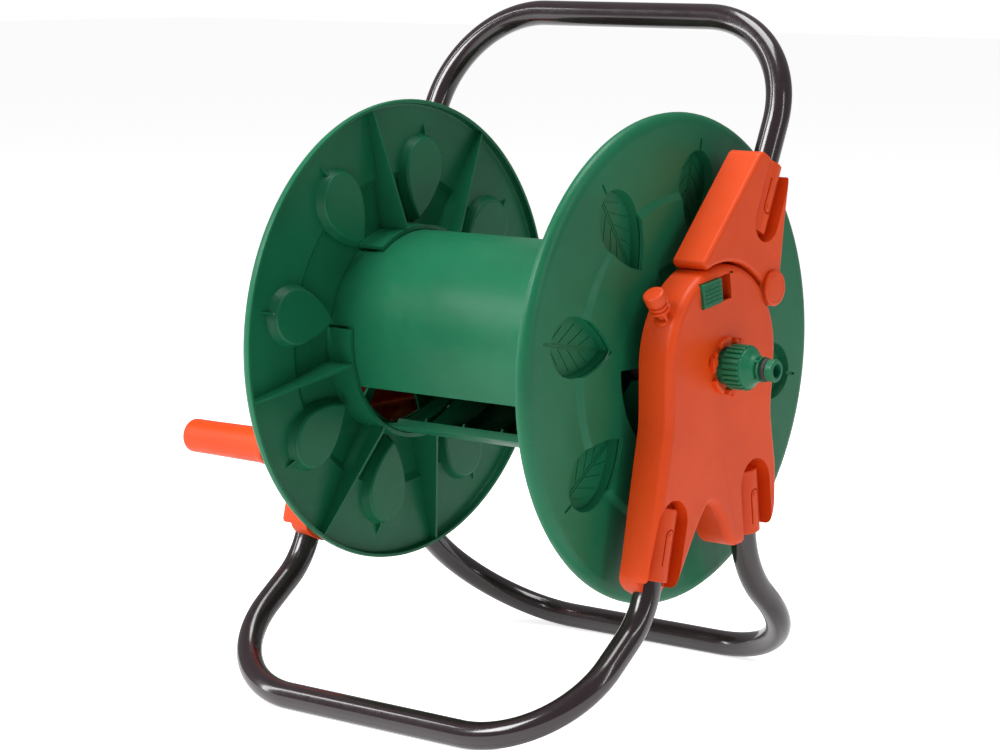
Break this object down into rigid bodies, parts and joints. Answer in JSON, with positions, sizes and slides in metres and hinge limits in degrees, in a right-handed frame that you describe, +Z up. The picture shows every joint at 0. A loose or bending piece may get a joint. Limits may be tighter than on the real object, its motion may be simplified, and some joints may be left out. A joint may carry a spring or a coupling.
{
  "type": "garden hose reel",
  "caption": "Free-standing garden hose reel: bent-tube stand, folding carry handle, two leaf-pattern flanges on a hollow core, side crank with turning grip and a hose inlet.",
  "frame": {"origin": "middle of the bounding box at floor level", "axes": "+X along the drum axis towards the hose inlet, +Y to the rear where the handle folds, +Z up"},
  "size_m": [0.487, 0.3634, 0.5003],
  "materials": {
    "tube_enamel": "glossy brown-black enamel on steel tube",
    "orange_plastic": "moulded, semi-gloss",
    "green_plastic": "moulded, semi-gloss",
    "black_plastic": "moulded, matt black",
    "rubber": "matt black",
    "steel": "zinc plated"
  },
  "bodies": {
    "frame": {"front_foot_tube": "tube_enamel", "rear_foot_tube": "tube_enamel", "inlet_side_bracket": "orange_plastic", "crank_side_bracket": "orange_plastic", "inlet_hinge_pin": "orange_plastic", "crank_hinge_pin": "orange_plastic", "inlet_hinge_clip": "steel", "crank_hinge_clip": "steel", "inlet_spigot": "green_plastic", "tap_adapter": "green_plastic", "adapter_washer": "rubber", "nipple_o_ring": "rubber", "parking_peg": "orange_plastic", "crank_bush": "black_plastic"},
    "carry_handle": {"handle_tube": "tube_enamel", "inlet_handle_bracket": "orange_plastic", "crank_handle_bracket": "orange_plastic"},
    "inlet_latch_slider": {"inlet_latch": "green_plastic"},
    "crank_latch_slider": {"crank_latch": "green_plastic"},
    "drum": {"inlet_flange": "green_plastic", "crank_flange": "green_plastic", "front_core_shell": "green_plastic", "rear_core_shell": "green_plastic", "hose_elbow": "black_plastic", "crank_arm": "orange_plastic", "crank_screw": "steel", "grip_pin": "steel", "spigot_seal": "rubber"},
    "crank_handle": {"crank_grip": "orange_plastic"}
  },
  "joints": [
    {"name": "handle_fold", "type": "hinge", "parent": "frame", "child": "carry_handle", "pos_m": [0.0295, 0.06385, 0.3012], "axis": [-1, 0, 0], "range_deg": [0, 110]},
    {"name": "inlet_latch_slide", "type": "slide", "parent": "frame", "child": "inlet_latch_slider", "axis": [0, 0.989, 0.1478], "range_m": [0, 0.013]},
    {"name": "crank_latch_slide", "type": "slide", "parent": "frame", "child": "crank_latch_slider", "axis": [0, 0.989, 0.1478], "range_m": [0, 0.013]},
    {"name": "drum_spin", "type": "hinge", "parent": "frame", "child": "drum", "pos_m": [0.0295, 0.00675, 0.2518], "axis": [1, 0, 0], "continuous": true},
    {"name": "grip_spin", "type": "hinge", "parent": "drum", "child": "crank_handle", "pos_m": [-0.205, -0.07047, 0.1639], "axis": [1, 0, 0], "continuous": true}
  ]
}
